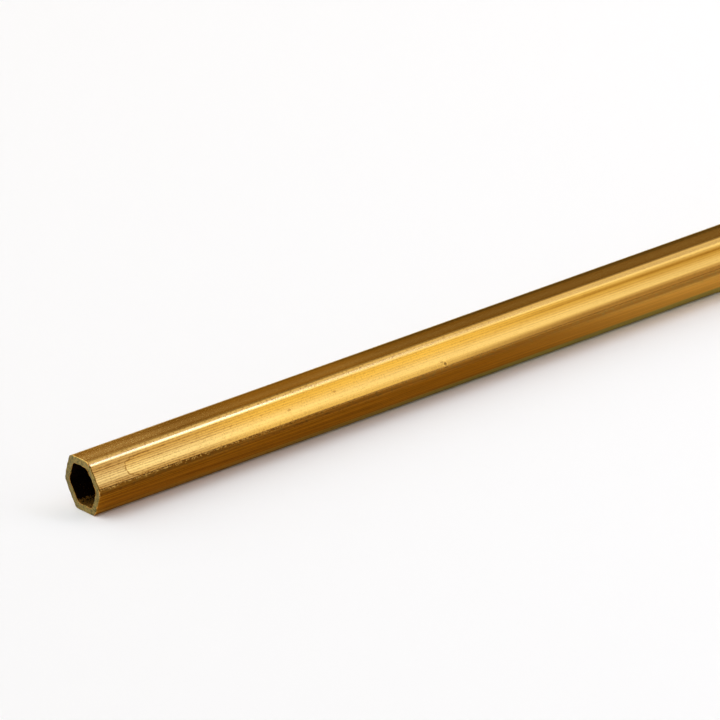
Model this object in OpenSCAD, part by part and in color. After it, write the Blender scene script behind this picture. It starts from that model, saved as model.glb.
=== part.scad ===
// A cut length of drawn hexagonal brass tube, lying on one of its flats.
// It runs along X, with a sawn end each way. The origin is on the surface that it
// rests on, under the middle of the tube.

/* [Section] */
// Distance across two opposite outside flats
across_flats = 8; // [6:0.5:20]
// Thickness of the wall in the middle of a flat
wall = 1; // [0.5:0.1:1.5]
// Radius of the six outside corners, left by the drawing die
outer_corner_r = 1.2; // [0.4:0.1:2.5]
// Radius of the six corners of the bore, left by the drawing plug
bore_corner_r = 1; // [0.2:0.1:1.4]

/* [Cut length] */
// Length of the tube from one sawn end to the other
tube_length = 300; // [50:5:1000]
// Width of the bevel filed along the end of each outside flat
filed_break = 0.1; // [0.05:0.01:0.25]
// Width of the countersink that cleans each mouth of the bore
mouth_break = 0.1; // [0.05:0.01:0.2]

/* [Hidden] */

SIDES = 6;
STEP = 360 / SIDES;
ARC_FN = 64;
// How far the corner arcs stand over the flats, so that the two outlines cross cleanly
ARC_LAP = 0.00005;
// How far a cutter reaches past the surface that it cuts
CUT_PAST = 1;
BRASS = [0.79, 0.60, 0.30];

bore_flats = across_flats - 2 * wall;

// Distance from a hexagon's middle to its corners, from its size across flats.
function corner_reach(flats) = flats / 2 / cos(STEP / 2);

// Point on a circle about the origin.
function on_circle(r, angle) = [r * cos(angle), r * sin(angle)];

// Hexagon with flats at the top and bottom. Its straight sides run between the ends
// of the corner arcs, and a disc on each arc's centre rounds the corner.
module round_cornered_hexagon(flats, corner_r) {
    centres = corner_reach(flats - 2 * corner_r);
    polygon([
        for (i = [0 : SIDES - 1], turn = [-STEP / 2, STEP / 2])
            on_circle(centres, STEP * i) + on_circle(corner_r, STEP * i + turn)
    ]);
    for (i = [0 : SIDES - 1])
        translate(on_circle(centres, STEP * i)) circle(r = corner_r + ARC_LAP, $fn = ARC_FN);
}

// The drawn section: the corners of the bore are tighter than those outside, so
// the wall is a little thicker at the corners than in the flats.
module tube_section() {
    difference() {
        round_cornered_hexagon(across_flats, outer_corner_r);
        round_cornered_hexagon(bore_flats, bore_corner_r);
    }
}

// What the file takes off at an end face at z = 0: a 45 degree bevel along each
// flat. Neighbouring bevels run out on the round corner between them.
module filed_bevels() {
    for (i = [0 : SIDES - 1])
        rotate([0, 0, STEP * (i + 0.5)])
            translate([across_flats / 2, 0, 0])
                rotate([90, 0, 0])
                    linear_extrude(across_flats, center = true)
                        polygon([
                            [-filed_break, 0],
                            [-filed_break, -CUT_PAST],
                            [CUT_PAST, -CUT_PAST],
                            [CUT_PAST, filed_break + CUT_PAST]
                        ]);
}

// What the countersink takes off at an end face at z = 0: a 45 degree cone, which
// touches the bore only in the middle of each flat.
module mouth_countersink() {
    flat_reach = bore_flats / 2;
    translate([0, 0, -CUT_PAST])
        cylinder(
            r1 = flat_reach + mouth_break + CUT_PAST,
            r2 = flat_reach - CUT_PAST,
            h = mouth_break + 2 * CUT_PAST,
            $fn = ARC_FN
        );
}

module hex_tube() {
    color(BRASS)
        translate([0, 0, across_flats / 2])
            rotate([90, 0, 90])
                difference() {
                    linear_extrude(tube_length, center = true) tube_section();
                    for (end = [0, 1])
                        mirror([0, 0, end])
                            translate([0, 0, -tube_length / 2]) {
                                filed_bevels();
                                mouth_countersink();
                            }
                }
}

hex_tube();
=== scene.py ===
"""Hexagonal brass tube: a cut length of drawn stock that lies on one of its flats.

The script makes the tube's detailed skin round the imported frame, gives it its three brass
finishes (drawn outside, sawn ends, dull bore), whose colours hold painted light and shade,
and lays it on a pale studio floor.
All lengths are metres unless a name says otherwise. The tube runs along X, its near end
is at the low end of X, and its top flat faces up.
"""

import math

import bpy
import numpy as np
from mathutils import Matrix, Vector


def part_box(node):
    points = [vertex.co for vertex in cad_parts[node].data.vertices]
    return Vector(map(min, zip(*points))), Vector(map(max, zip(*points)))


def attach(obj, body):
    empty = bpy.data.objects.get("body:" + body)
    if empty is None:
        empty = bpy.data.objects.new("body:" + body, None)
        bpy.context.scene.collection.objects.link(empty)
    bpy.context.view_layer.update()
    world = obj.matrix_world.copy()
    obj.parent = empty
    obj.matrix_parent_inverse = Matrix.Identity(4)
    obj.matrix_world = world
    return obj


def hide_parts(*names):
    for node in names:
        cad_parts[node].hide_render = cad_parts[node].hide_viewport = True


bl_info = {
    "name": "Hexagonal Brass Tube",
    "version": (1, 0, 0),
    "blender": (4, 5, 0),
    "location": "View3D > Sidebar > Hex Tube",
    "description": "Builds a drawn hexagonal brass tube, its three finishes and a plain studio",
    "category": "Add Mesh",
}

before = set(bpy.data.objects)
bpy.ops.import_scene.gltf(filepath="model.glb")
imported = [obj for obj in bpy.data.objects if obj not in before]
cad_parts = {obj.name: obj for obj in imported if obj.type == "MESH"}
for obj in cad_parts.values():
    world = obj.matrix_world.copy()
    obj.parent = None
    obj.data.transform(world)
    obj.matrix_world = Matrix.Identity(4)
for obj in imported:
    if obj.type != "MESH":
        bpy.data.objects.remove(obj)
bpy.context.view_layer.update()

NODE = "hex_tube"
BODY = "root"
LOWEST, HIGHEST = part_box(NODE)
MM = 0.001
SIDES = 6
STEP = 2 * math.pi / SIDES

# Points round the section: on each flat between its corner arcs, and on each arc.
FLAT_POINTS = 43
ARC_POINTS = 17
# Rows of the skin: along the outside, across the nick, and along the bore.
OUTSIDE_ROWS = 78
NICK_ROWS = 21
BORE_ROWS = 30
# Distances from the ends, in millimetres, of the close rows there.
END_ROWS = (0.12, 0.26, 0.45, 0.8, 1.4)
# Rows across a filed bevel, across the plain cut face and across the countersunk mouth.
BEVEL_ROWS = 3
FACE_ROWS = 13
MOUTH_ROWS = 3
# Material slots of the skin.
DRAWN_PART, SAWN_PART, BORE_PART = range(3)
# Seeds of the random series. Die lines and saw marks also use the seed after their own.
BEVEL_SEED, MOUTH_SEED, SAW_SEED = 11, 13, 31
OUTSIDE_LINE_SEED, BORE_LINE_SEED = 101, 201

# Linear colours that the drawn outside mixes in beside those that a user would change.
HANDLED = (0.47, 0.28, 0.09)
# Handled brass where the painted sheen makes a flat paler.
HANDLED_PAINTED_SHEEN = (0.95, 0.76, 0.33)
DRIED = (0.50, 0.34, 0.15)
# Painted shade on the lower part of the upper front flat.
LOW_FRONT = (0.52, 0.33, 0.10)
# Painted shade of the lower flats, with less of it further along the tube.
FAR_UNDERSIDE = (1.0, 0.56, 0.11)
# Painted light: a lighter lower front flat towards the bottom.
LOWEST_FRONT = (0.68, 0.29, 0.022)
# Painted shade of the front side corner, near the end and further along.
SIDE_CORNER = (0.24, 0.093, 0.0095)
NEAR_SIDE_CORNER = (0.175, 0.069, 0.006)
FAR_SIDE_CORNER = (0.29, 0.122, 0.018)
SIDE_SPECKS = (0.32, 0.22, 0.055)
# Painted colour fringe of light on the lower and upper outline corners, as a lens shows at an
# outline.
LOWER_PAINTED_FRINGE = (0.48, 0.45, 0.14)
UPPER_PAINTED_FRINGE = (0.42, 0.29, 0.075)
DRAWN_LIP = (0.95, 0.52, 0.13)
# The same for the sawn ends and for the bore.
SAWN_MOTTLE = (0.155, 0.128, 0.03)
SAWN_FRONT = (0.16, 0.105, 0.022)
SAWN_SPECKS = (0.055, 0.053, 0.018)
SAWN_LIP = (0.85, 0.38, 0.06)
SAWN_SHADE = (0.06, 0.055, 0.02)
# Specks of uncovered metal in the bore, with painted light that adds more of them near the mouth.
BARE_AND_LIT_SPECKS = (0.45, 0.22, 0.035)
BORE_LIP = (0.62, 0.34, 0.08)

# Stretches of the drawn outside that differ in finish: where each begins and where it is
# full, in millimetres from the near end.
STRETCHES = {
    "near": (31.0, 12.0),
    "calm": (12.0, 45.0),
    "even": (38.0, 82.0),
    "later": (55.0, 85.0),
    "far": (60.0, 106.0),
}
# Ovals on the upper front flat, in millimetres: the middle, along from the near end and up
# from the flat's middle, and the half widths.
DRYING_MARK = ((7.75, -0.25), (2.75, 1.4))
SMALL_SPOTS = (((32.0, -0.17), (0.3, 0.18)), ((39.7, 0.18), (0.24, 0.15)))

# Soft lights hung round the tube: name, swing from the front in degrees, distance from the
# line that the tube rests on, place along that line, width, height, radiance and, where it
# isn't white, colour. Panels that overlap hang at slightly different distances, because in
# one plane they would hide each other's reflection.
PANELS = (
    ("front_panel", 35, 0.8, 0.445, 0.49, 0.28, 0.96),
    ("front_near", 35, 0.78, 0.24, 0.12, 0.28, 0.26),
    ("front_skirt", 17, 0.82, 0.455, 0.43, 0.24, 0.35),
    ("strip_light", 55, 0.5, 0.119, 0.06, 0.2, 4.0, (0.82, 0.98, 1.45)),
    ("strip_tail", 55.5, 0.49, 0.285, 0.27, 0.2, 0.74),
    ("strip_middle", 55.5, 0.48, 0.177, 0.05, 0.2, 0.45),
    ("overhead_panel", 90, 0.9, 0.45, 0.6, 0.75, 0.92),
    ("overhead_back", 125, 0.92, 0.45, 0.6, 0.35, 0.34),
    ("back_panel", 155, 1.0, 0.17, 0.54, 0.75, 0.235, (1.0, 0.67, 0.41)),
)


class HexTubeSizes(bpy.types.PropertyGroup):
    """Sizes of the tube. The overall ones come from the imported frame."""

    across_flats: bpy.props.FloatProperty(
        name="Across flats", unit="LENGTH", default=HIGHEST.z - LOWEST.z,
        description="Distance across two opposite outside flats",
    )
    length: bpy.props.FloatProperty(
        name="Length", unit="LENGTH", default=HIGHEST.x - LOWEST.x,
        description="Length from one sawn end to the other",
    )
    wall: bpy.props.FloatProperty(
        name="Wall", unit="LENGTH", default=1.0 * MM,
        description="Thickness of the wall in the middle of a flat",
    )
    outer_corner: bpy.props.FloatProperty(
        name="Outside corner radius", unit="LENGTH", default=1.2 * MM,
        description="Radius of the six outside corners",
    )
    bore_corner: bpy.props.FloatProperty(
        name="Bore corner radius", unit="LENGTH", default=1.0 * MM,
        description="Radius of the six corners of the bore",
    )
    filed_bevel: bpy.props.FloatProperty(
        name="Filed bevel", unit="LENGTH", default=0.1 * MM,
        description="Width of the bevel filed along the end of each outside flat",
    )
    mouth_bevel: bpy.props.FloatProperty(
        name="Mouth countersink", unit="LENGTH", default=0.1 * MM,
        description="Width of the countersink at each mouth of the bore",
    )
    bore_offset: bpy.props.FloatProperty(
        name="Bore offset", unit="LENGTH", default=0.16 * MM,
        description="How far the bore lies off the middle, towards the front",
    )
    filed_corner: bpy.props.FloatProperty(
        name="Filed corner", unit="LENGTH", default=0.24 * MM,
        description="How much more the file took off the near end's back corner",
    )
    die_line_depth: bpy.props.FloatProperty(
        name="Die line depth", unit="LENGTH", default=0.0007 * MM,
        description="How far the die's lengthwise lines stand in and out",
    )
    die_line_pitch: bpy.props.FloatProperty(
        name="Die line pitch", unit="LENGTH", default=0.335 * MM,
        description="Usual distance from one die line to the next",
    )
    saw_mark_depth: bpy.props.FloatProperty(
        name="Saw mark depth", unit="LENGTH", default=0.005 * MM,
        description="Depth of the saw's straight marks on the ends",
    )
    nick_from_end: bpy.props.FloatProperty(
        name="Nick from end", unit="LENGTH", default=57.1 * MM,
        description="Distance of the nick in the front corner from the near end",
    )
    nick_depth: bpy.props.FloatProperty(
        name="Nick depth", unit="LENGTH", default=0.05 * MM,
        description="Depth of the nick in the front corner",
    )


class HexTubeFinish(bpy.types.PropertyGroup):
    """Colours of the brass, as linear values."""

    drawn: bpy.props.FloatVectorProperty(
        name="Drawn brass", subtype="COLOR", default=(0.84, 0.49, 0.062), min=0, max=1,
        description="Rich yellow of the flats near the corners",
    )
    # Painted sheen: paler brass that stands in for a broad reflection down the middle of each
    # flat.
    painted_sheen: bpy.props.FloatVectorProperty(
        name="Rubbed brass", subtype="COLOR", default=(0.99, 0.71, 0.235), min=0, max=1,
        description="Paler brass down the middle of each flat",
    )
    # Painted shade: the darker lower flats and side corners stand in for the shade that they get.
    shaded_underside: bpy.props.FloatVectorProperty(
        name="Underside", subtype="COLOR", default=(0.50, 0.19, 0.012), min=0, max=1,
        description="Darker tarnished brass of the lower flats and the side corners",
    )
    corners: bpy.props.FloatVectorProperty(
        name="Corners", subtype="COLOR", default=(0.64, 0.40, 0.11), min=0, max=1,
        description="Duller brass of the round corners",
    )
    # The colour that tarnish, grime and painted shade multiply the brass by.
    tarnish: bpy.props.FloatVectorProperty(
        name="Tarnish", subtype="COLOR", default=(0.38, 0.28, 0.16), min=0, max=1,
        description="Share of the brass's colour that comes through a film of tarnish",
    )
    sawn: bpy.props.FloatVectorProperty(
        name="Sawn brass", subtype="COLOR", default=(0.325, 0.23, 0.055), min=0, max=1,
        description="Dull olive brass of the sawn ends",
    )
    # Painted shade: the bore's brass is coloured nearly black, as the inside of the tube falls in
    # shade.
    bore: bpy.props.FloatVectorProperty(
        name="Bore", subtype="COLOR", default=(0.012, 0.005, 0.002), min=0, max=1,
        description="Dark, oiled and dusty brass of the bore",
    )


class HexTubeStudio(bpy.types.PropertyGroup):
    """Light, floor and camera of the studio."""

    floor: bpy.props.FloatVectorProperty(
        name="Floor", subtype="COLOR", default=(0.93, 0.93, 0.93), min=0, max=1,
        description="Colour of the pale floor",
    )
    room: bpy.props.FloatVectorProperty(
        name="Room", subtype="COLOR", default=(0.20, 0.13, 0.075), min=0, max=1,
        description="Dim warm light from all round",
    )
    bright_side: bpy.props.FloatProperty(
        name="Bright side", default=1.75,
        description="Brightness of the room's bright side at the back left",
    )
    azimuth: bpy.props.FloatProperty(
        name="Azimuth", subtype="ANGLE", default=math.radians(-31.33),
        description="Turn of the camera from straight in front towards the far end",
    )
    elevation: bpy.props.FloatProperty(
        name="Elevation", subtype="ANGLE", default=math.radians(21.89),
        description="Angle of the camera above the floor",
    )
    roll: bpy.props.FloatProperty(
        name="Roll", subtype="ANGLE", default=math.radians(-6.81),
        description="Turn of the camera about its own line of sight",
    )
    distance: bpy.props.FloatProperty(
        name="Distance", unit="LENGTH", default=2.309,
        description="Distance of the camera from the near end",
    )
    focal_length: bpy.props.FloatProperty(
        name="Focal length", default=847.4,
        description="Focal length in millimetres, on a sensor 36 mm wide",
    )


def rounded_hexagon(flats, corner):
    """Outline of a hexagon with flats above and below and round corners: its points and outward
    normals in the Y-Z plane, how much each point belongs to a corner, and its place across its
    flat, from -1 to 1 the way that the outline runs.

    Each corner is an arc about a centre that lies (flats / 2 - corner) / cos(30 deg) from the
    middle, and its normals turn from -30 to 30 degrees. Between two arcs the points lie
    evenly on a straight line.
    """
    reach = (flats / 2 - corner) / math.cos(STEP / 2)
    middle = STEP * np.arange(SIDES)[:, None]
    turn = np.linspace(-STEP / 2, STEP / 2, ARC_POINTS)[None, :]
    normal = np.stack([np.cos(middle + turn), np.sin(middle + turn)], axis=-1)
    arc = reach * np.stack([np.cos(middle), np.sin(middle)], axis=-1) + corner * normal
    share = np.linspace(0, 1, FLAT_POINTS + 2)[1:-1][None, :, None]
    line = arc[:, -1:] * (1 - share) + np.roll(arc[:, :1], -1, axis=0) * share
    line_normal = np.repeat(normal[:, -1:], FLAT_POINTS, axis=1)
    corner_share = np.cos(turn * math.pi / STEP) * np.ones_like(middle)
    flat_place = np.where(turn < 0, 1, -1) * np.ones_like(middle)
    line_place = np.repeat(2 * share[..., 0] - 1, SIDES, axis=0)
    points = np.concatenate([arc, line], axis=1).reshape(-1, 2)
    normals = np.concatenate([normal, line_normal], axis=1).reshape(-1, 2)
    corners = np.concatenate([corner_share, np.zeros((SIDES, FLAT_POINTS))], axis=1).reshape(-1)
    across = np.concatenate([flat_place, line_place], axis=1).reshape(-1)
    return points, normals, corners, across


def band_noise(count, spacing, pitch, seed, band=0.4):
    """A periodic series of unit spread, with waves of about one pitch: seeded white noise whose
    Fourier terms are weighed by exp(-((f pitch - 1) / band)^2 / 2)."""
    noise = np.random.default_rng(seed).standard_normal(count)
    waves = np.fft.rfftfreq(count, spacing)
    weights = np.exp(-(((waves * pitch - 1) / band) ** 2) / 2)
    series = np.fft.irfft(np.fft.rfft(noise) * weights, count)
    return (series - series.mean()) / series.std()


def uneven(count, spacing, seed):
    """How unevenly a hand tool has cut round the section: 1, with waves of about 1.2 mm that
    spread by 0.16 about it."""
    return 1 + 0.16 * band_noise(count, spacing, 1.2 * MM, seed)


def die_lines(place, count, spacing, pitch, seed):
    """Drawing lines of unit spread at each row and round the section. Two series round the
    section fade into each other along the tube, as the cosine and sine of a slow phase."""
    narrow = 0.15
    first = band_noise(count, spacing, pitch, seed, narrow)
    second = band_noise(count, spacing, pitch, seed + 1, narrow)
    phase = 1.5 * math.pi * place[:, None]
    return np.cos(phase) * first + np.sin(phase) * second


def corner_nick(x, angle, sizes):
    """How far the nick in the front corner goes in: a Gaussian pit along the tube and round the
    section, with a low raised lip round it. It lies a little above the corner's middle."""
    half_length, half_turn = 0.42 * MM, math.radians(5.5)
    corner, above = math.pi, math.radians(11)
    along = (x + sizes.length / 2 - sizes.nick_from_end) / half_length
    turned = (angle - (corner - above)) / half_turn
    away = np.hypot(along, turned)
    lip = 0.2 * np.exp(-(((away - 1.8) / 0.45) ** 2))
    return sizes.nick_depth * (np.exp(-(away**2)) - lip)


def saw_marks(across, sizes, seed):
    """Depth of the straight marks on a sawn end: a smooth series, of fine marks and 0.8 as much
    of broad ones, read at each point's distance across them. None stands above the cut."""
    fine_pitch, broad_pitch = 0.3 * MM, 0.9 * MM
    grid = np.linspace(-1, 1, 1024) * sizes.across_flats
    spacing = grid[1] - grid[0]
    series = band_noise(len(grid), spacing, fine_pitch, seed)
    series = series + 0.8 * band_noise(len(grid), spacing, broad_pitch, seed + 1)
    return sizes.saw_mark_depth * (np.interp(across, grid, series) - series.max())


def row_places(count, sizes):
    """Places of lengthwise rows, from -1 at the near end to 1 at the far end. They close up
    towards the ends, as a sine does, with the close end rows added."""
    even = np.linspace(-1, 1, count)
    places = 0.5 * even + 0.5 * np.sin(even * math.pi / 2)
    close = 1 - 2 * MM * np.array(END_ROWS) / sizes.length
    gap = 0.003
    inner = places[np.abs(places) < close.min() - gap]
    return np.sort(np.concatenate([[-1, 1], -close, inner, close]))


def outside_places(sizes):
    """Places of the outside's rows, which also lie close together across the nick."""
    places = row_places(OUTSIDE_ROWS, sizes)
    nick = 2 * sizes.nick_from_end / sizes.length - 1
    nick_half_length = 1.7 * MM
    across = 2 * nick_half_length / sizes.length
    places = places[np.abs(places - nick) > across * 1.1]
    return np.sort(np.concatenate([places, nick + across * np.linspace(-1, 1, NICK_ROWS)]))


def skin_rows(sizes):
    """The walk round the wall: out along the outside, down across the far end, back through the
    bore, and up across the near end.

    Each row has its place along the tube, from -1 to 1, and how far it has come across the
    filed bevel, the plain cut face and the mouth's countersink, each from 0 to 1.
    """
    outside = outside_places(sizes)
    bore = row_places(BORE_ROWS, sizes)[-2:0:-1]
    bevel = np.linspace(0, 1, BEVEL_ROWS + 1)[1:]
    face = 0.5 - 0.5 * np.cos(np.linspace(0, math.pi, FACE_ROWS + 1)[1:])
    mouth = np.linspace(0, 1, MOUTH_ROWS + 1)[1:]
    ones = np.ones_like
    end = np.stack([
        np.concatenate([bevel, ones(face), ones(mouth)]),
        np.concatenate([0 * bevel, face, ones(mouth)]),
        np.concatenate([0 * bevel, 0 * face, mouth]),
    ])
    place = np.concatenate([outside, ones(end[0]), bore, -ones(end[0])])
    across = np.concatenate(
        [np.zeros((3, len(outside))), end, np.ones((3, len(bore))), end[:, ::-1]], axis=1
    )
    return place, across


def end_cuts(sizes, normals, bore_reach, spacing):
    """Widths round the section of the filed bevel and of the mouth's countersink.

    The bevel loses corner radius * (1 - cos(turn)) where the outline has turned off its flat,
    so it runs out on the round corner. The countersink is as wide as its own radius less the
    bore outline's distance from the middle. Neither gets narrower than a broken edge.
    """
    off_flat = np.abs(np.mod(np.arctan2(normals[:, 1], normals[:, 0]), STEP) - STEP / 2)
    run_out = sizes.outer_corner * (1 - np.cos(off_flat))
    filed = sizes.filed_bevel * uneven(len(normals), spacing, BEVEL_SEED)
    sunk_reach = sizes.across_flats / 2 - sizes.wall + sizes.mouth_bevel
    sunk = (sunk_reach - bore_reach) * uneven(len(normals), spacing, MOUTH_SEED)
    return np.maximum(filed - run_out, 0.02 * MM), np.maximum(sunk, 0.015 * MM)


def skin_facts(shape, corners, across, lines, from_lip):
    """Values from 0 to 1 that the skin carries at each point: how much it belongs to a corner;
    how much painted sheen it gets, as a broad Gaussian across each flat, and painted highlight,
    as a narrow one along the flat's first edge; how deep it lies in a die line, as a steepened
    height; and how near it is to a lip of a cut end, as exp(-distance / 0.15 mm)."""
    painted_sheen = 0.8 * np.exp(-(((across - 0.33) / 0.55) ** 2))
    painted_sheen = painted_sheen + 0.8 * np.exp(-(((across + 1) / 0.07) ** 2))
    return {
        "corner": np.broadcast_to(corners, shape),
        "painted_sheen": np.broadcast_to(painted_sheen, shape),
        "groove": 0.5 - 0.5 * np.tanh(2.5 * lines + 0.4),
        "lip": np.exp(-from_lip / (0.15 * MM)),
    }


def tube_skin(sizes):
    """The tube's whole closed skin as a grid: rows walk round the wall, columns round the
    section, and both come back to where they began.

    A point lies on the straight line from its outside outline point to its bore outline
    point, as far along as its row has come through the wall. It stands back from the end by
    what is left of the filed bevel and by what it has gone into the mouth's countersink. The
    near end's bevel also grows by a Gaussian round the back corner. Die lines and the nick
    are added along the outline's normals, and the saw marks along the tube.
    """
    outer, normals, corners, across = rounded_hexagon(sizes.across_flats, sizes.outer_corner)
    inner = rounded_hexagon(sizes.across_flats - 2 * sizes.wall, sizes.bore_corner)[0]
    columns = len(outer)
    spacing = np.linalg.norm(np.roll(outer, -1, axis=0) - outer, axis=1).mean()
    bevel, mouth = end_cuts(sizes, normals, np.linalg.norm(inner, axis=1), spacing)
    inner = inner - np.array([sizes.bore_offset, 0])
    wall = np.linalg.norm(outer - inner, axis=1)
    angle = np.mod(np.arctan2(outer[:, 1], outer[:, 0]), 2 * math.pi)

    place, (filed, faced, bored) = skin_rows(sizes)
    side = np.sign(place)[:, None]
    corner_reach = 0.3
    back_corner = np.exp(-((np.abs(angle - math.pi) - math.pi) / corner_reach) ** 2)
    bevel = bevel + np.where(side < 0, sizes.filed_corner * back_corner, 0)
    through = filed[:, None] * bevel + faced[:, None] * (wall - bevel - mouth)
    through = through + bored[:, None] * mouth
    back = (1 - filed)[:, None] * bevel + bored[:, None] * mouth
    x = place[:, None] * (sizes.length / 2 - back)
    share = through / wall

    lines = die_lines(place, columns, spacing, sizes.die_line_pitch, OUTSIDE_LINE_SEED)
    outside_height = sizes.die_line_depth * lines - corner_nick(x, angle[None], sizes)
    bore_lines = die_lines(place, columns, spacing, 2 * sizes.die_line_pitch, BORE_LINE_SEED)
    bore_coarseness = 4
    bore_height = bore_coarseness * sizes.die_line_depth * bore_lines
    height = outside_height * (1 - share) + bore_height * share
    flat = outer * (1 - share[..., None]) + inner * share[..., None] + height[..., None] * normals

    cut = ((filed == 1) & (bored == 0) & (np.abs(place) == 1))[:, None]
    near_lean, far_lean = math.radians(68), math.radians(97)
    lean = np.where(side < 0, near_lean, far_lean)
    marks = saw_marks(flat[..., 0] * np.cos(lean) + flat[..., 1] * np.sin(lean), sizes, SAW_SEED)
    x = x + np.where(cut, side * marks, 0)
    middle = (LOWEST + HIGHEST) / 2
    points = np.stack([middle.x + x, middle.y + flat[..., 0], middle.z + flat[..., 1]], axis=-1)

    from_end = sizes.length / 2 - np.abs(x)
    from_lip = from_end + np.minimum(through, wall - through)
    facts = skin_facts(x.shape, corners, across, lines, from_lip)
    outside_part = (filed == 0) & (np.roll(filed, -1) == 0)
    bore_part = (bored == 1) & (np.roll(bored, -1) == 1)
    parts = np.where(outside_part, DRAWN_PART, np.where(bore_part, BORE_PART, SAWN_PART))
    return points, facts, parts


def mesh_from_grid(name, points, facts, parts):
    """A closed mesh from a grid of points that wraps both ways. Each quad joins a point to the
    next column and the next row, turned so that its normal points out of the wall."""
    rows, columns = points.shape[:2]
    count = rows * columns
    index = np.arange(count).reshape(rows, columns)
    up = np.roll(index, -1, axis=0)
    quads = np.stack([index, np.roll(index, -1, axis=1), np.roll(up, -1, axis=1), up], axis=-1)
    mesh = bpy.data.meshes.new(name)
    mesh.vertices.add(count)
    mesh.vertices.foreach_set("co", points.astype(np.float32).ravel())
    mesh.loops.add(4 * count)
    mesh.loops.foreach_set("vertex_index", quads.astype(np.int32).ravel())
    mesh.polygons.add(count)
    mesh.polygons.foreach_set("loop_start", np.arange(0, 4 * count, 4, dtype=np.int32))
    mesh.polygons.foreach_set("material_index", np.repeat(parts, columns).astype(np.int32))
    for label, values in facts.items():
        layer = mesh.attributes.new(label, "FLOAT", "POINT")
        layer.data.foreach_set("value", values.astype(np.float32).ravel())
    mesh.update()
    mesh.validate()
    mesh.shade_smooth()
    return mesh


class Nodes:
    """Short ways to add nodes to one node tree. Most give back an output socket."""

    def __init__(self, tree):
        self.tree = tree

    def add(self, kind, inputs=None, output=0, **fields):
        """A node of that kind with its fields set. An input takes a value or another socket."""
        node = self.tree.nodes.new(kind)
        for name, value in fields.items():
            setattr(node, name, value)
        for name, value in (inputs or {}).items():
            self.join(value, node.inputs[name])
        return node if output is None else node.outputs[output]

    def join(self, value, socket):
        """Links a socket to an input, or sets the input's own value."""
        if isinstance(value, bpy.types.NodeSocket):
            self.tree.links.new(value, socket)
        else:
            socket.default_value = value

    def math(self, operation, first, second=0.0, third=0.0, clamp=False):
        """One calculation on values."""
        inputs = {0: first, 1: second, 2: third}
        return self.add("ShaderNodeMath", inputs, operation=operation, use_clamp=clamp)

    def times(self, first, second):
        """The product of two values."""
        return self.math("MULTIPLY", first, second)

    def scaled(self, value, factor, base, clamp=False):
        """A value times a factor, on top of a base."""
        return self.math("MULTIPLY_ADD", value, factor, base, clamp)

    def ramp(self, value, low, high, to_low=0.0, to_high=1.0):
        """Carries a value smoothly from one range to another, and no further."""
        inputs = {0: value, 1: low, 2: high, 3: to_low, 4: to_high}
        return self.add("ShaderNodeMapRange", inputs, interpolation_type="SMOOTHSTEP")

    def blend(self, share, first, second, way="MIX"):
        """Mixes two colours, each another socket or its red, green and blue."""
        colours = [c if isinstance(c, bpy.types.NodeSocket) else (*c, 1) for c in (first, second)]
        inputs = {0: share, 6: colours[0], 7: colours[1]}
        return self.add("ShaderNodeMix", inputs, output=2, data_type="RGBA", blend_type=way)

    def mix(self, share, first, second):
        """Mixes two values."""
        return self.add("ShaderNodeMix", {0: share, 2: first, 3: second}, data_type="FLOAT")

    def noise(self, position, scale, detail=2.0, roughness=0.5):
        """Soft noise from 0 to 1 at a position."""
        inputs = {"Vector": position, "Scale": scale, "Detail": detail, "Roughness": roughness}
        return self.add("ShaderNodeTexNoise", inputs)

    def bump(self, height, depth):
        """The normal of a fine relief, whose height of 1 stands for a depth in metres."""
        return self.add("ShaderNodeBump", {"Height": height, "Distance": depth, "Strength": 1.0})

    def group(self, tree, position, **inputs):
        """A node that places a shader node group, read at a position."""
        inputs = {"Position": position, **inputs}
        return self.add("ShaderNodeGroup", inputs, output=None, node_tree=tree).outputs

    def millimetres(self):
        """The object's own coordinates, in millimetres."""
        place = self.add("ShaderNodeTexCoord", output="Object")
        return self.add("ShaderNodeMapping", {"Vector": place, "Scale": (1 / MM,) * 3})

    def fact(self, name):
        """A value that the mesh carries at each of its points."""
        return self.add("ShaderNodeAttribute", output="Fac", attribute_name=name)


def new_group(name, inputs, outputs):
    """An empty shader node group, into which go a position and named values, with defaults."""
    tree = bpy.data.node_groups.new(name, "ShaderNodeTree")
    tree.interface.new_socket("Position", in_out="INPUT", socket_type="NodeSocketVector")
    for label, value in inputs.items():
        socket = tree.interface.new_socket(label, in_out="INPUT", socket_type="NodeSocketFloat")
        socket.default_value = value
    for label in outputs:
        tree.interface.new_socket(label, in_out="OUTPUT", socket_type="NodeSocketFloat")
    nodes = Nodes(tree)
    start = nodes.add("NodeGroupInput", output=None).outputs
    end = nodes.add("NodeGroupOutput", output=None).inputs
    return tree, nodes, start, end


def draw_lines_group():
    """Lengthwise lines of the drawing die: noise stretched along X, then steepened."""
    inputs = {"Across": 2.5, "Along": 0.02, "Contrast": 0.2}
    tree, nodes, start, end = new_group("Draw Lines", inputs, ["Lines"])
    across = start["Across"]
    stretch = nodes.add("ShaderNodeCombineXYZ", {0: start["Along"], 1: across, 2: across})
    stretched = {0: start["Position"], 1: stretch}
    position = nodes.add("ShaderNodeVectorMath", stretched, operation="MULTIPLY")
    noise = nodes.noise(position, 1.0, detail=0.0)
    low = nodes.math("SUBTRACT", 0.5, start["Contrast"])
    high = nodes.math("ADD", 0.5, start["Contrast"])
    nodes.join(nodes.ramp(noise, low, high), end["Lines"])
    return tree


def grain_group():
    """The even, fine orange peel of metal that the die has not rubbed, with small specks."""
    tree, nodes, start, end = new_group("Brass Grain", {"Fineness": 4.0}, ["Grain", "Specks"])
    grain = nodes.noise(start["Position"], start["Fineness"], roughness=0.6)
    nodes.join(nodes.ramp(grain, 0.25, 0.75), end["Grain"])
    fine = nodes.times(start["Fineness"], 0.8)
    specks = nodes.noise(start["Position"], fine, detail=1.0)
    nodes.join(nodes.ramp(specks, 0.52, 0.68), end["Specks"])
    return tree


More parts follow.
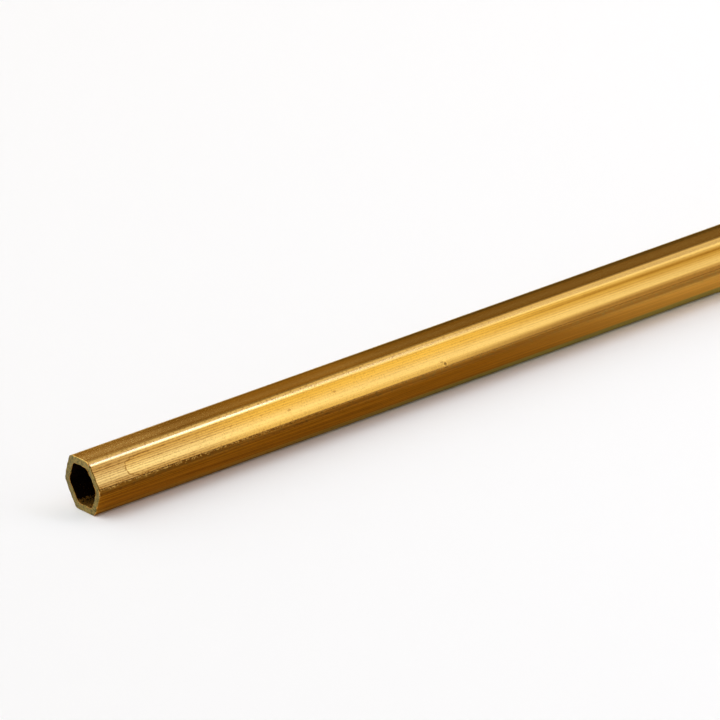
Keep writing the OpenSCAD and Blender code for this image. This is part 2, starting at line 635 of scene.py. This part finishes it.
def tarnish_group():
    """Slow changes of colour: broad clouds with finer, lengthwise wisps in them."""
    tree, nodes, start, end = new_group("Tarnish", {"Cover": 0.5}, ["Mask"])
    stretch = {0: start["Position"], 1: (0.25, 1.0, 1.0)}
    position = nodes.add("ShaderNodeVectorMath", stretch, operation="MULTIPLY")
    clouds = nodes.noise(position, 0.11, detail=1.0)
    wisps = nodes.noise(position, 0.9, detail=3.0, roughness=0.6)
    mixed = nodes.scaled(wisps, 0.45, nodes.times(clouds, 0.55))
    softness = 0.14
    edge = nodes.math("SUBTRACT", 1.0, start["Cover"])
    low = nodes.math("SUBTRACT", edge, softness)
    high = nodes.math("ADD", edge, softness)
    nodes.join(nodes.ramp(mixed, low, high), end["Mask"])
    return tree


def lip_wear_group():
    """Bright metal along the lips of the cut ends, broken up by noise."""
    tree, nodes, start, end = new_group("Lip Wear", {"Lip": 0.0, "Reach": 0.5}, ["Wear"])
    noise = nodes.noise(start["Position"], 2.2)
    ragged = nodes.scaled(noise, 0.6, start["Lip"])
    low = nodes.math("SUBTRACT", 1.3, start["Reach"])
    high = nodes.math("ADD", low, 0.25)
    nodes.join(nodes.ramp(ragged, low, high), end["Wear"])
    return tree


def brass_groups():
    """The node groups that the three finishes share, each built once."""
    return {
        "lines": draw_lines_group(),
        "grain": grain_group(),
        "tarnish": tarnish_group(),
        "wear": lip_wear_group(),
    }


def new_brass(name, specular_tint=(1.0, 1.0, 1.0, 1.0)):
    """A material with one metal shader, whose uniform values are set on its own sockets."""
    material = bpy.data.materials.new(name)
    material.use_nodes = True
    nodes = Nodes(material.node_tree)
    shader = material.node_tree.nodes["Principled BSDF"]
    shader.inputs["Metallic"].default_value = 1.0
    shader.inputs["Specular Tint"].default_value = specular_tint
    return material, nodes, shader.inputs


def tube_place(nodes, position):
    """Where a point lies, in millimetres: its distance from the near end, how far it is behind
    the tube's middle line, and its height above that line."""
    x, y, z = (nodes.add("ShaderNodeSeparateXYZ", {0: position}, output=k) for k in range(3))
    from_end = nodes.math("SUBTRACT", x, LOWEST.x / MM)
    height = nodes.math("SUBTRACT", z, (LOWEST.z + HIGHEST.z) / 2 / MM)
    return from_end, y, height


def front_place(nodes, behind, height):
    """How far up the upper front flat a point is from the flat's middle, in millimetres, and a
    value that is 1 on that flat. The flat rises 0.866 for each 0.5 that it goes back."""
    back, rise = 0.5, 0.866
    up = nodes.scaled(behind, back, nodes.times(height, rise))
    outward = nodes.scaled(behind, -rise, nodes.times(height, back))
    return up, nodes.ramp(outward, 3.88, 3.97)


def oval(nodes, from_end, up, middle, half):
    """Distance from the middle of an oval on the front flat, in its own half widths."""
    along = nodes.math("DIVIDE", nodes.math("SUBTRACT", from_end, middle[0]), half[0])
    above = nodes.math("DIVIDE", nodes.math("SUBTRACT", up, middle[1]), half[1])
    place = nodes.add("ShaderNodeCombineXYZ", {0: along, 1: above})
    return nodes.add("ShaderNodeVectorMath", {0: place}, output="Value", operation="LENGTH")


def front_stains(nodes, position, from_end, up, flat):
    """Stains on the upper front flat: the dulled metal outside a drying mark near the end, and
    the brown of the mark's broken oval line and of two small spots further along."""
    wander = nodes.noise(position, 1.1)
    mark = nodes.scaled(wander, 0.3, oval(nodes, from_end, up, *DRYING_MARK))
    dull = nodes.times(nodes.ramp(mark, 1.1, 1.2), nodes.ramp(from_end, 11.0, 6.0))
    line = nodes.math("SUBTRACT", nodes.ramp(mark, 1.05, 1.12), nodes.ramp(mark, 1.16, 1.25))
    line = nodes.times(line, nodes.ramp(from_end, 9.5, 7.0))
    broken = nodes.ramp(nodes.noise(position, 3.5, detail=1.0), 0.36, 0.56)
    brown = nodes.times(line, broken)
    for middle, half in SMALL_SPOTS:
        spot = nodes.math("ADD", wander, oval(nodes, from_end, up, middle, half))
        brown = nodes.math("MAXIMUM", brown, nodes.ramp(spot, 1.7, 1.2, 0.0, 0.6))
    return nodes.times(dull, flat), nodes.times(brown, flat)


class DrawnSurface:
    """What the drawn outside's finish is mixed from: places on the tube in millimetres, and
    masks, lines and grain from 0 to 1."""

    def __init__(self, nodes, groups):
        position = nodes.millimetres()
        self.from_end, self.behind, self.height = tube_place(nodes, position)
        self.up, self.flat = front_place(nodes, self.behind, self.height)
        for name in ("corner", "painted_sheen", "groove", "lip"):
            setattr(self, name, nodes.fact(name))
        for name, (start, full) in STRETCHES.items():
            setattr(self, name, nodes.ramp(self.from_end, start, full))

        def lines(across, along, contrast):
            values = {"Across": across, "Along": along, "Contrast": contrast}
            return nodes.group(groups["lines"], position, **values)["Lines"]

        self.coarse = lines(1.6, 0.012, 0.2)
        self.fine = lines(4.5, 0.05, 0.16)
        self.dashes = lines(6.0, 1.6, 0.16)
        self.patches = lines(2.4, 0.05, 0.25)
        grain = nodes.group(groups["grain"], position, Fineness=4.4)
        self.grain, self.specks = grain["Grain"], grain["Specks"]
        self.tarnish = nodes.group(groups["tarnish"], position, Cover=0.42)["Mask"]
        self.wear = nodes.group(groups["wear"], position, Lip=self.lip, Reach=0.6)["Wear"]
        self.dull, self.brown = front_stains(nodes, position, self.from_end, self.up, self.flat)

        # The upper front flat's lower part, which gets painted shade, all below a ragged line on
        # it, where the lower flats' painted shade begins, the top flat near the end, and the
        # strength of the orange peel.
        self.low = nodes.ramp(self.height, 1.35, 0.65)
        ragged = nodes.scaled(self.grain, 0.7, self.height)
        ragged = nodes.scaled(nodes.noise(position, 1.3), 0.4, ragged)
        below = nodes.ramp(ragged, 1.03, 0.80)
        below = nodes.mix(self.calm, below, nodes.ramp(self.height, 0.62, 0.13))
        self.below = nodes.mix(self.far, below, nodes.ramp(self.height, 1.5, 0.3))
        self.top = nodes.times(
            nodes.ramp(self.height, 3.9, 3.97), nodes.ramp(self.from_end, 40.0, 3.0)
        )
        peel = nodes.scaled(self.corner, 0.32, 0.16)
        self.peel = nodes.times(peel, nodes.scaled(self.even, -0.8, 1.0))


def drawn_metal(nodes, skin, finish):
    """Colour of the drawn metal: paler where it is handled; paler in a painted sheen down each
    flat and in a painted highlight near the top of the upper front flat further along; duller
    on the corners; darker with painted shade on that flat's lower part, the lower flats and the
    side corner, which painted light makes lighter further along and towards the bottom; and
    with a painted colour fringe on the two outline corners."""
    # Painted sheen down the middle of each flat and painted highlight along its first edge.
    colour = nodes.blend(skin.painted_sheen, finish.drawn, finish.painted_sheen)
    # Painted highlight: paler brass near the top of the upper front flat further along.
    edge = nodes.times(skin.far, nodes.ramp(skin.up, 0.9, 1.4, 0.0, 0.55))
    colour = nodes.blend(edge, colour, finish.painted_sheen)
    handled = nodes.blend(skin.painted_sheen, HANDLED, HANDLED_PAINTED_SHEEN)
    colour = nodes.blend(nodes.times(skin.near, 0.62), colour, handled)
    colour = nodes.blend(nodes.times(skin.dull, 0.3), colour, DRIED)
    # Painted shade on the lower part of the upper front flat.
    low = nodes.times(skin.low, nodes.scaled(skin.even, 0.3, 0.28))
    colour = nodes.blend(low, colour, LOW_FRONT)
    round_corner = nodes.ramp(skin.corner, 0.0, 0.45, 0.0, 0.75)
    colour = nodes.blend(round_corner, colour, finish.corners)

    # Painted shade on the lower flats, made lighter further along and towards the bottom by
    # painted light.
    under = nodes.blend(skin.far, finish.shaded_underside, FAR_UNDERSIDE)
    lowest = nodes.times(nodes.ramp(skin.height, -0.8, -3.2), nodes.scaled(skin.far, -0.3, 0.5))
    under = nodes.blend(lowest, under, LOWEST_FRONT)
    colour = nodes.blend(nodes.times(skin.below, 0.97), colour, under)
    # Painted shade on the front side corner, with small specks in it.
    side = nodes.times(skin.below, nodes.ramp(skin.height, -0.75, 0.0, 0.0, 0.9))
    side_colour = nodes.blend(skin.near, SIDE_CORNER, NEAR_SIDE_CORNER)
    side_colour = nodes.blend(skin.far, side_colour, FAR_SIDE_CORNER)
    colour = nodes.blend(side, colour, side_colour)
    specks = nodes.times(nodes.times(side, skin.specks), 0.5)
    colour = nodes.blend(specks, colour, SIDE_SPECKS)

    # Painted colour fringe of light along the two outline corners.
    away = nodes.math("ABSOLUTE", skin.up)
    away = nodes.math("ADD", away, nodes.ramp(skin.up, -1.0, 1.0, 0.0, 0.1))
    painted_fringe = nodes.ramp(nodes.scaled(skin.far, 0.12, away), 3.93, 4.18)
    painted_fringe = nodes.times(painted_fringe, nodes.ramp(skin.from_end, 5.0, 75.0, 0.2, 0.9))
    olive = nodes.blend(nodes.ramp(skin.up, -1.0, 1.0), LOWER_PAINTED_FRINGE, UPPER_PAINTED_FRINGE)
    return nodes.blend(painted_fringe, colour, olive)


def drawn_grime_and_shade(nodes, skin):
    """How much tarnish, grime and painted shade darken the drawn metal: tarnish and grime in its
    die lines, wisps and orange peel; painted shade in films on the upper front and top flats,
    with a painted reflection as a darker streak; a darker tone on the back flats; and the brown
    stains."""
    depth = nodes.scaled(skin.near, 0.43, 0.15)
    depth = nodes.times(depth, nodes.scaled(skin.patches, 0.9, 0.5))
    depth = nodes.times(depth, nodes.scaled(skin.painted_sheen, -0.35, 1.0))
    smooth = nodes.math("MAXIMUM", skin.corner, skin.below)
    depth = nodes.times(depth, nodes.scaled(smooth, -0.75, 1.0))
    beads = nodes.times(skin.groove, nodes.scaled(skin.dashes, 0.6, 0.7))
    grime_and_shade = nodes.times(beads, depth)
    grime_and_shade = nodes.scaled(skin.coarse, 0.12, grime_and_shade)
    streaked = nodes.times(skin.below, nodes.scaled(skin.even, -0.3, 0.46))
    grime_and_shade = nodes.scaled(skin.fine, nodes.math("ADD", streaked, 0.05), grime_and_shade)
    grime_and_shade = nodes.scaled(skin.tarnish, 0.10, grime_and_shade)
    grime_and_shade = nodes.scaled(skin.specks, skin.peel, grime_and_shade)

    # Upper front flat: painted shade beside its painted sheen, along its lower edge, and over its
    # far half, where a darker streak is a painted reflection.
    beside = nodes.times(nodes.ramp(skin.painted_sheen, 0.75, 0.1), nodes.ramp(skin.from_end, 52.0, 30.0))
    grime_and_shade = nodes.scaled(nodes.times(beside, skin.flat), 0.22, grime_and_shade)
    # Painted shade along the lower edge of the upper front flat.
    film = nodes.scaled(skin.even, 0.45, nodes.times(skin.far, 0.25))
    film = nodes.scaled(skin.near, 0.12, film)
    edge = nodes.times(skin.low, nodes.math("SUBTRACT", 1.0, skin.below))
    grime_and_shade = nodes.scaled(edge, film, grime_and_shade)
    # Painted shade over the far half of the upper front flat, with a painted reflection as a
    # darker streak.
    front = nodes.scaled(skin.far, 0.25, nodes.times(skin.later, 0.18))
    front = nodes.times(front, nodes.ramp(skin.up, 1.5, 1.1))
    front = nodes.times(front, nodes.ramp(skin.up, -0.1, 0.5, 0.4, 1.0))
    from_streak = nodes.math("ABSOLUTE", nodes.math("SUBTRACT", skin.up, 0.93))
    front = nodes.scaled(nodes.ramp(from_streak, 0.45, 0.0, 0.0, 0.3), skin.later, front)
    front = nodes.times(front, nodes.math("SUBTRACT", skin.flat, skin.below, clamp=True))
    grime_and_shade = nodes.math("ADD", front, grime_and_shade)

    # Top flat: painted shade on its round edges further along, and on a stretch near the end.
    # Then the two back flats, made darker, and the stains.
    on_top = nodes.ramp(skin.height, 3.84, 3.95)
    brow = nodes.times(nodes.ramp(skin.corner, 0.0, 0.3), on_top)
    grime_and_shade = nodes.scaled(nodes.times(brow, skin.even), 0.45, grime_and_shade)
    stretch = nodes.ramp(skin.from_end, 8.0, 18.0, 0.0, 0.36)
    stretch = nodes.times(stretch, nodes.ramp(skin.from_end, 44.0, 33.0))
    grime_and_shade = nodes.scaled(stretch, on_top, grime_and_shade)
    grime_and_shade = nodes.math("ADD", nodes.ramp(skin.behind, 2.0, 2.8, 0.0, 0.5), grime_and_shade)
    return nodes.scaled(skin.brown, 0.7, grime_and_shade, clamp=True)


def drawn_oil(nodes, skin):
    """Share of clear drawing oil: along the round corner between the top and the upper front
    flat, and less of it further along the tube."""
    oil = nodes.times(nodes.ramp(skin.height, 2.5, 3.2), nodes.ramp(skin.height, 3.81, 3.68))
    oil = nodes.times(nodes.ramp(skin.corner, 0.0, 0.5), oil)
    return nodes.times(oil, nodes.scaled(skin.even, -0.85, 1.0))


def drawn_roughness(nodes, skin):
    """Roughness of the drawn metal: higher in lines, on corners and in specks on top."""
    rough = nodes.scaled(skin.coarse, 0.02, 0.11)
    rough = nodes.scaled(skin.fine, 0.02, rough)
    rough = nodes.scaled(skin.corner, 0.05, rough)
    rough = nodes.scaled(skin.top, 0.08, rough)
    sparse = nodes.times(skin.specks, nodes.ramp(skin.grain, 0.5, 0.8))
    return nodes.scaled(nodes.times(sparse, skin.top), 0.4, rough)


def drawn_relief(nodes, skin):
    """Fine relief of the drawn metal: lines, and orange peel that is stronger on top."""
    relief = nodes.times(skin.coarse, 0.5)
    relief = nodes.scaled(skin.fine, 0.3, relief)
    peel = nodes.scaled(skin.top, 0.5, skin.peel)
    return nodes.scaled(nodes.times(skin.grain, peel), 1.2, relief)


def drawn_brass(finish, groups):
    """The drawn outside: gold brass with lengthwise die lines and orange peel, a painted sheen and
    highlight, painted shade on the lower flats and in films on the upper flats, a painted colour
    fringe on two outline corners, tarnish, a few stains, wear at the lips and a little clear oil."""
    material, nodes, shader = new_brass("drawn_brass", (1.0, 0.85, 0.5, 1.0))
    shader["Coat Roughness"].default_value = 0.06
    shader["Coat IOR"].default_value = 1.7
    skin = DrawnSurface(nodes, groups)
    colour = drawn_metal(nodes, skin, finish)
    colour = nodes.blend(drawn_grime_and_shade(nodes, skin), colour, finish.tarnish, "MULTIPLY")
    colour = nodes.blend(nodes.times(skin.wear, 0.7), colour, DRAWN_LIP)
    nodes.join(colour, shader["Base Color"])
    nodes.join(drawn_oil(nodes, skin), shader["Coat Weight"])
    nodes.join(drawn_roughness(nodes, skin), shader["Roughness"])
    nodes.join(nodes.bump(drawn_relief(nodes, skin), 0.004 * MM), shader["Normal"])
    return material


def sawn_brass(finish, groups):
    """The sawn ends: dull olive brass, mottled and with fine specks, darker towards the front
    corner and the back, with bright metal on its lips in front."""
    material, nodes, shader = new_brass("sawn_brass")
    position = nodes.millimetres()
    lip = nodes.fact("lip")
    grain = nodes.group(groups["grain"], position, Fineness=4.4)
    mottle = nodes.group(groups["grain"], position, Fineness=2.0)
    wear = nodes.group(groups["wear"], position, Lip=lip, Reach=0.45)["Wear"]
    behind = tube_place(nodes, position)[1]
    colour = nodes.blend(mottle["Specks"], finish.sawn, SAWN_MOTTLE)
    colour = nodes.blend(nodes.ramp(behind, -3.0, -3.8, 0.0, 0.35), colour, SAWN_FRONT)
    colour = nodes.blend(nodes.times(grain["Specks"], 0.9), colour, SAWN_SPECKS)
    colour = nodes.blend(nodes.times(wear, 0.8), colour, SAWN_LIP)
    shade = nodes.times(nodes.ramp(lip, 0.45, 0.9), nodes.ramp(behind, 0.0, 2.0))
    shade = nodes.scaled(shade, 0.6, nodes.ramp(behind, 0.0, 4.0, 0.0, 0.32))
    colour = nodes.blend(shade, colour, SAWN_SHADE)
    nodes.join(colour, shader["Base Color"])
    nodes.join(nodes.scaled(grain["Grain"], 0.15, 0.42), shader["Roughness"])
    nodes.join(nodes.bump(grain["Grain"], 0.03 * MM), shader["Normal"])
    return material


def bore_brass(finish, groups):
    """The bore: coloured nearly black as painted shade, with drawing lines, a few specks of
    uncovered metal, more of them on its floor at the near mouth as painted light, and bright
    metal on its lips."""
    material, nodes, shader = new_brass("bore_brass")
    position = nodes.millimetres()
    lip = nodes.fact("lip")
    lines = nodes.group(groups["lines"], position, Across=2.0, Along=0.03, Contrast=0.2)["Lines"]
    grain = nodes.group(groups["grain"], position, Fineness=5.0)
    wear = nodes.group(groups["wear"], position, Lip=lip, Reach=0.6)["Wear"]
    from_end, behind, height = tube_place(nodes, position)
    # Painted light: more specks on the bore floor near the mouth.
    floor = nodes.times(nodes.ramp(height, -2.4, -2.9), nodes.ramp(from_end, 6.5, 0.3))
    floor = nodes.times(floor, nodes.ramp(behind, -1.9, -0.6, 0.5, 1.02))
    bare_and_lit = nodes.ramp(nodes.scaled(floor, 0.6, grain["Grain"]), 0.90, 1.10)
    colour = nodes.blend(bare_and_lit, finish.bore, BARE_AND_LIT_SPECKS)
    colour = nodes.blend(wear, colour, BORE_LIP)
    nodes.join(colour, shader["Base Color"])
    nodes.join(nodes.scaled(lines, 0.2, 0.45), shader["Roughness"])
    nodes.join(nodes.bump(grain["Grain"], 0.03 * MM), shader["Normal"])
    return material


class HEXTUBE_OT_build_tube(bpy.types.Operator):
    """Build the tube's skin with its three finishes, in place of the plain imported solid"""

    bl_idname = "hextube.build_tube"
    bl_label = "Build Tube"

    def execute(self, context):
        sizes, finish = context.scene.hex_tube_sizes, context.scene.hex_tube_finish
        mesh = mesh_from_grid("hex_tube_skin", *tube_skin(sizes))
        groups = brass_groups()
        for make in (drawn_brass, sawn_brass, bore_brass):
            mesh.materials.append(make(finish, groups))
        tube = bpy.data.objects.new("hex_tube_skin", mesh)
        context.scene.collection.objects.link(tube)
        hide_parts(NODE)
        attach(tube, BODY)
        return {"FINISHED"}


def studio_floor(studio):
    """A pale floor that sweeps up at its far rim. Its height is zero out to a set radius, and
    grows from there with the square of the distance."""
    half, flat_radius, rise, points_across = 9.0, 6.0, 0.12, 73
    gap_below_tube = 0.01 * MM
    line = np.linspace(-half, half, points_across)
    x, y = np.meshgrid(line, line)
    past = np.maximum(np.hypot(x, y) - flat_radius, 0)
    points = np.stack([x, y, LOWEST.z - gap_below_tube + rise * past**2], axis=-1)
    index = np.arange(x.size).reshape(x.shape)
    quads = np.stack([index[:-1, :-1], index[:-1, 1:], index[1:, 1:], index[1:, :-1]], axis=-1)
    mesh = bpy.data.meshes.new("studio_floor")
    mesh.from_pydata(points.reshape(-1, 3), [], quads.reshape(-1, 4))
    mesh.shade_smooth()
    material = bpy.data.materials.new("studio_floor")
    material.use_nodes = True
    shader = material.node_tree.nodes["Principled BSDF"].inputs
    shader["Base Color"].default_value = (*studio.floor, 1)
    shader["Roughness"].default_value = 1.0
    shader["Specular IOR Level"].default_value = 0.0
    mesh.materials.append(material)
    floor = bpy.data.objects.new("studio_floor", mesh)
    bpy.context.scene.collection.objects.link(floor)


def hung_panel(name, swing, away, middle, width, height, radiance, colour=(1, 1, 1)):
    """A rectangular soft light that hangs along the tube and faces the line that it rests on.
    It is swung round that line from the front by an angle in degrees, and shines evenly with
    the radiance given: its power is pi times radiance times area."""
    light = bpy.data.lights.new(name, "AREA")
    light.shape = "RECTANGLE"
    light.size, light.size_y = width, height
    light.energy = math.pi * radiance * width * height
    light.color = colour
    panel = bpy.data.objects.new(name, light)
    angle = math.radians(swing)
    along = Vector((1, 0, 0))
    out = Vector((0, -math.cos(angle), math.sin(angle)))
    turn = Matrix((along, out.cross(along), out)).transposed().to_4x4()
    panel.visible_camera = False
    panel.matrix_world = Matrix.Translation(Vector((middle, 0, LOWEST.z)) + away * out) @ turn
    bpy.context.scene.collection.objects.link(panel)


def studio_room(studio):
    """The room's light. It is dim and warm, but for one broad and soft bright side at the back
    left, which fades in with the cosine of the angle from its middle."""
    middle = Vector((-0.7, 0.52, 0.5)).normalized()
    white_tint = (0.97, 1.0, 1.02)
    world = bpy.data.worlds.new("room")
    world.use_nodes = True
    nodes = Nodes(world.node_tree)
    way = nodes.add("ShaderNodeTexCoord", output="Generated")
    both = {0: way, 1: middle}
    cosine = nodes.add("ShaderNodeVectorMath", both, output="Value", operation="DOT_PRODUCT")
    bright = tuple(studio.bright_side * part for part in white_tint)
    colour = nodes.blend(nodes.ramp(cosine, 0.3, 0.6), studio.room, bright)
    nodes.join(colour, world.node_tree.nodes["Background"].inputs["Color"])
    bpy.context.scene.world = world


def studio_camera(studio):
    """The camera at the photograph's angle. It looks from a direction given by azimuth and
    elevation, rolled about its line of sight, and is moved right and up from facing the near
    end's middle."""
    a, e, roll = studio.azimuth, studio.elevation, studio.roll
    back = Vector((math.sin(a) * math.cos(e), -math.cos(a) * math.cos(e), math.sin(e)))
    level = Vector((math.cos(a), math.sin(a), 0))
    upright = back.cross(level)
    right = math.cos(roll) * level + math.sin(roll) * upright
    up = math.cos(roll) * upright - math.sin(roll) * level
    near_end = Vector((LOWEST.x, 0, (LOWEST.z + HIGHEST.z) / 2))
    aim_right, aim_up = 37.91 * MM, 17.09 * MM
    data = bpy.data.cameras.new("studio_camera")
    data.lens = studio.focal_length
    data.sensor_width = 36
    data.clip_start, data.clip_end = 0.05, 60
    camera = bpy.data.objects.new("studio_camera", data)
    place = near_end + studio.distance * back + aim_right * right + aim_up * up
    turn = Matrix((right, up, back)).transposed().to_4x4()
    camera.matrix_world = Matrix.Translation(place) @ turn
    bpy.context.scene.collection.objects.link(camera)
    bpy.context.scene.camera = camera


class HEXTUBE_OT_build_stage(bpy.types.Operator):
    """Build the pale floor, the soft studio light and the camera"""

    bl_idname = "hextube.build_stage"
    bl_label = "Build Stage"

    def execute(self, context):
        studio = context.scene.hex_tube_studio
        context.scene.view_settings.view_transform = "Standard"
        studio_room(studio)
        studio_floor(studio)
        for panel in PANELS:
            hung_panel(*panel)
        studio_camera(studio)
        return {"FINISHED"}


class HEXTUBE_PT_panel(bpy.types.Panel):
    """Sizes, colours and steps of the tube"""

    bl_idname = "HEXTUBE_PT_panel"
    bl_label = "Hex Tube"
    bl_space_type = "VIEW_3D"
    bl_region_type = "UI"
    bl_category = "Hex Tube"

    def draw(self, context):
        for owner in SETTINGS:
            box = self.layout.box()
            settings = getattr(context.scene, owner)
            for name in settings.bl_rna.properties.keys():
                if name not in ("rna_type", "name"):
                    box.prop(settings, name)
        for operator in (HEXTUBE_OT_build_tube, HEXTUBE_OT_build_stage):
            self.layout.operator(operator.bl_idname)


SETTINGS = {
    "hex_tube_sizes": HexTubeSizes,
    "hex_tube_finish": HexTubeFinish,
    "hex_tube_studio": HexTubeStudio,
}
CLASSES = (*SETTINGS.values(), HEXTUBE_OT_build_tube, HEXTUBE_OT_build_stage, HEXTUBE_PT_panel)


def register():
    for cls in CLASSES:
        bpy.utils.register_class(cls)
    for owner, kind in SETTINGS.items():
        setattr(bpy.types.Scene, owner, bpy.props.PointerProperty(type=kind))


def unregister():
    for owner in SETTINGS:
        delattr(bpy.types.Scene, owner)
    for cls in reversed(CLASSES):
        bpy.utils.unregister_class(cls)


def main():
    """Registers the classes and builds the tube and its stage."""
    register()
    bpy.ops.hextube.build_tube()
    bpy.ops.hextube.build_stage()


if __name__ == "__main__":
    main()
